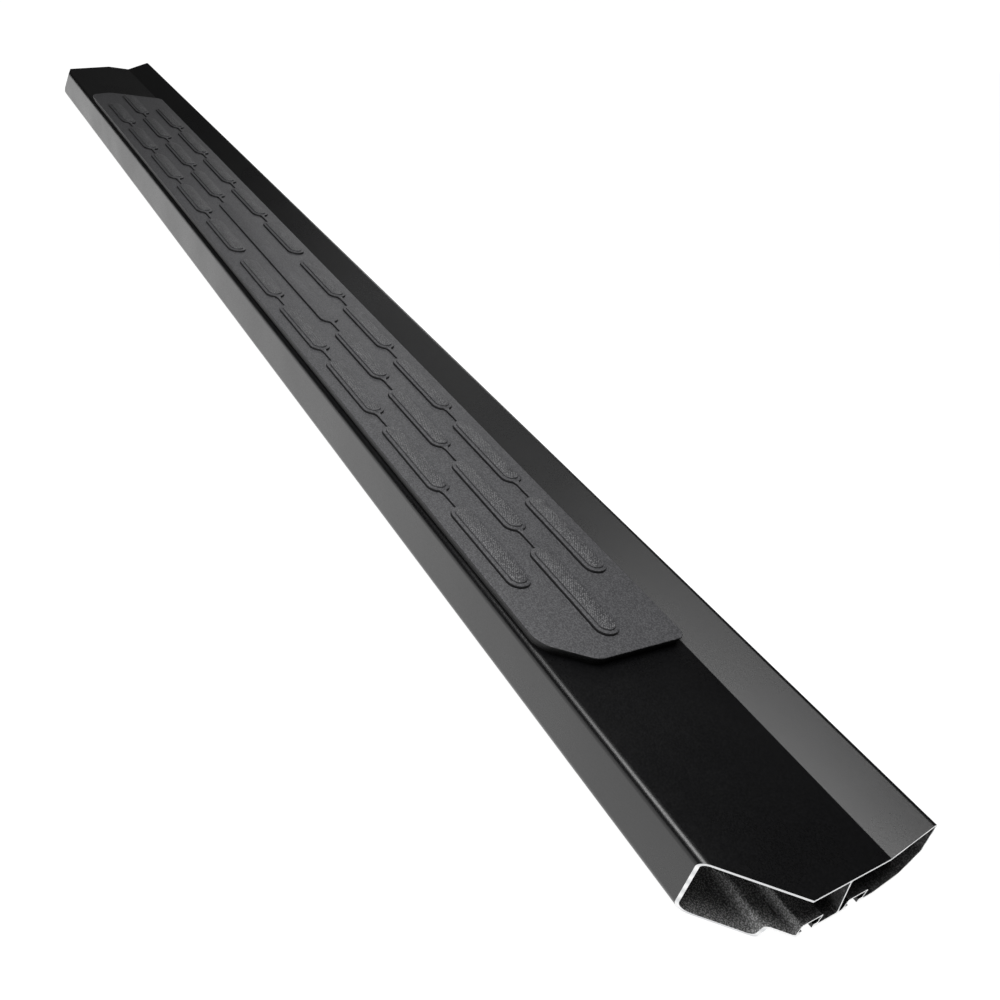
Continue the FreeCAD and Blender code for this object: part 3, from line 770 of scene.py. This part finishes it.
def stand_camera(studio):
    """The camera, on its stand near the board's open end."""
    lens = bpy.data.cameras.new("camera")
    lens.lens = studio.lens
    lens.clip_start = 0.01
    camera = bpy.data.objects.new("camera", lens)
    bpy.context.scene.collection.objects.link(camera)
    place = BOARD[1] + Vector(studio.stand)
    turn = Matrix.Rotation(studio.pan, 4, "Z") @ Matrix.Rotation(math.pi / 2 - studio.tilt, 4, "X")
    turn = turn @ Matrix.Rotation(studio.roll, 4, "Z")
    camera.matrix_world = Matrix.Translation(place) @ turn
    bpy.context.scene.camera = camera


# ------------------------------------------------------------------ operators
class BOARD_OT_extrusion(bpy.types.Operator):
    """Finish the extruded board in satin black with bare sawn ends"""
    bl_idname = "running_board.extrusion"
    bl_label = "Extrusion finish"

    def execute(self, context):
        paint(powder_coated_aluminium(context.scene.board_finish), "board_extrusion")
        return {"FINISHED"}


class BOARD_OT_step_pad(bpy.types.Operator):
    """Build the moulded step pad with its treads"""
    bl_idname = "running_board.step_pad"
    bl_label = "Step pad"

    def execute(self, context):
        finish = context.scene.board_finish
        materials = [moulded_thermoplastic(finish), gripping_thermoplastic(finish)]
        build_step_pad(context.scene.board_pad, materials)
        return {"FINISHED"}


class BOARD_OT_pad_fixings(bpy.types.Operator):
    """Finish the tapes and clips that hold the pad"""
    bl_idname = "running_board.pad_fixings"
    bl_label = "Pad fixings"

    def execute(self, context):
        finish = context.scene.board_finish
        paint(closed_cell_foam(finish), *TAPES)
        paint(moulded_nylon(finish), *CLIPS)
        return {"FINISHED"}


class BOARD_OT_sliders(bpy.types.Operator):
    """Build the threaded studs and finish their sliding plates"""
    bl_idname = "running_board.sliders"
    bl_label = "Sliding studs"

    def execute(self, context):
        zinc = zinc_plated_steel(context.scene.board_finish)
        paint(zinc, *[f"slider_plate_{slot}_{number}" for slot, number in SLIDERS])
        for slot, number in SLIDERS:
            build_stud(slot, number, zinc)
        return {"FINISHED"}


class BOARD_OT_studio(bpy.types.Operator):
    """Set up the floor, the lights and the camera"""
    bl_idname = "running_board.studio"
    bl_label = "Studio"

    def execute(self, context):
        studio = context.scene.board_studio
        stage_floor(studio)
        room_light(studio)
        add_softbox("overhead", (0.6, -0.35, 1.1), (0.5, 0, 0), (0.9, 0.6), studio.overhead)
        add_softbox("ramp", (0.15, 0.02, 1.25), (0.15, 0.021, 0), (0.7, 0.4), studio.ramp)
        add_softbox("strip", (-0.9, 0, 1.25), (-0.9, 0.001, 0), (2.0, 0.4), studio.strip)
        add_softbox("back", (-1.56, 1.13, 1.06), (0.4, 0, 0), (1.2, 0.8), studio.back)
        stand_camera(studio)
        context.scene.view_settings.view_transform = "Standard"
        return {"FINISHED"}


class BOARD_PT_panel(bpy.types.Panel):
    """Sidebar panel with the board's settings and operators"""
    bl_label = "Running Board"
    bl_space_type = "VIEW_3D"
    bl_region_type = "UI"
    bl_category = "Running Board"

    def draw(self, context):
        for operator in OPERATORS:
            self.layout.operator(operator.bl_idname)
        for name, group in SETTINGS.items():
            for setting in group.__annotations__:
                self.layout.prop(getattr(context.scene, name), setting)


OPERATORS = (BOARD_OT_extrusion, BOARD_OT_step_pad, BOARD_OT_pad_fixings, BOARD_OT_sliders,
             BOARD_OT_studio)


def register():
    """Registers the settings, the operators and the panel."""
    for group in (*SETTINGS.values(), *OPERATORS, BOARD_PT_panel):
        bpy.utils.register_class(group)
    for name, group in SETTINGS.items():
        setattr(bpy.types.Scene, name, bpy.props.PointerProperty(type=group))


def unregister():
    """Takes everything away again."""
    for name in SETTINGS:
        delattr(bpy.types.Scene, name)
    for group in (BOARD_PT_panel, *reversed(OPERATORS), *SETTINGS.values()):
        bpy.utils.unregister_class(group)


def main():
    """Builds everything in order."""
    register()
    bpy.ops.running_board.extrusion()
    bpy.ops.running_board.step_pad()
    bpy.ops.running_board.pad_fixings()
    bpy.ops.running_board.sliders()
    bpy.ops.running_board.studio()


if __name__ == "__main__":
    main()
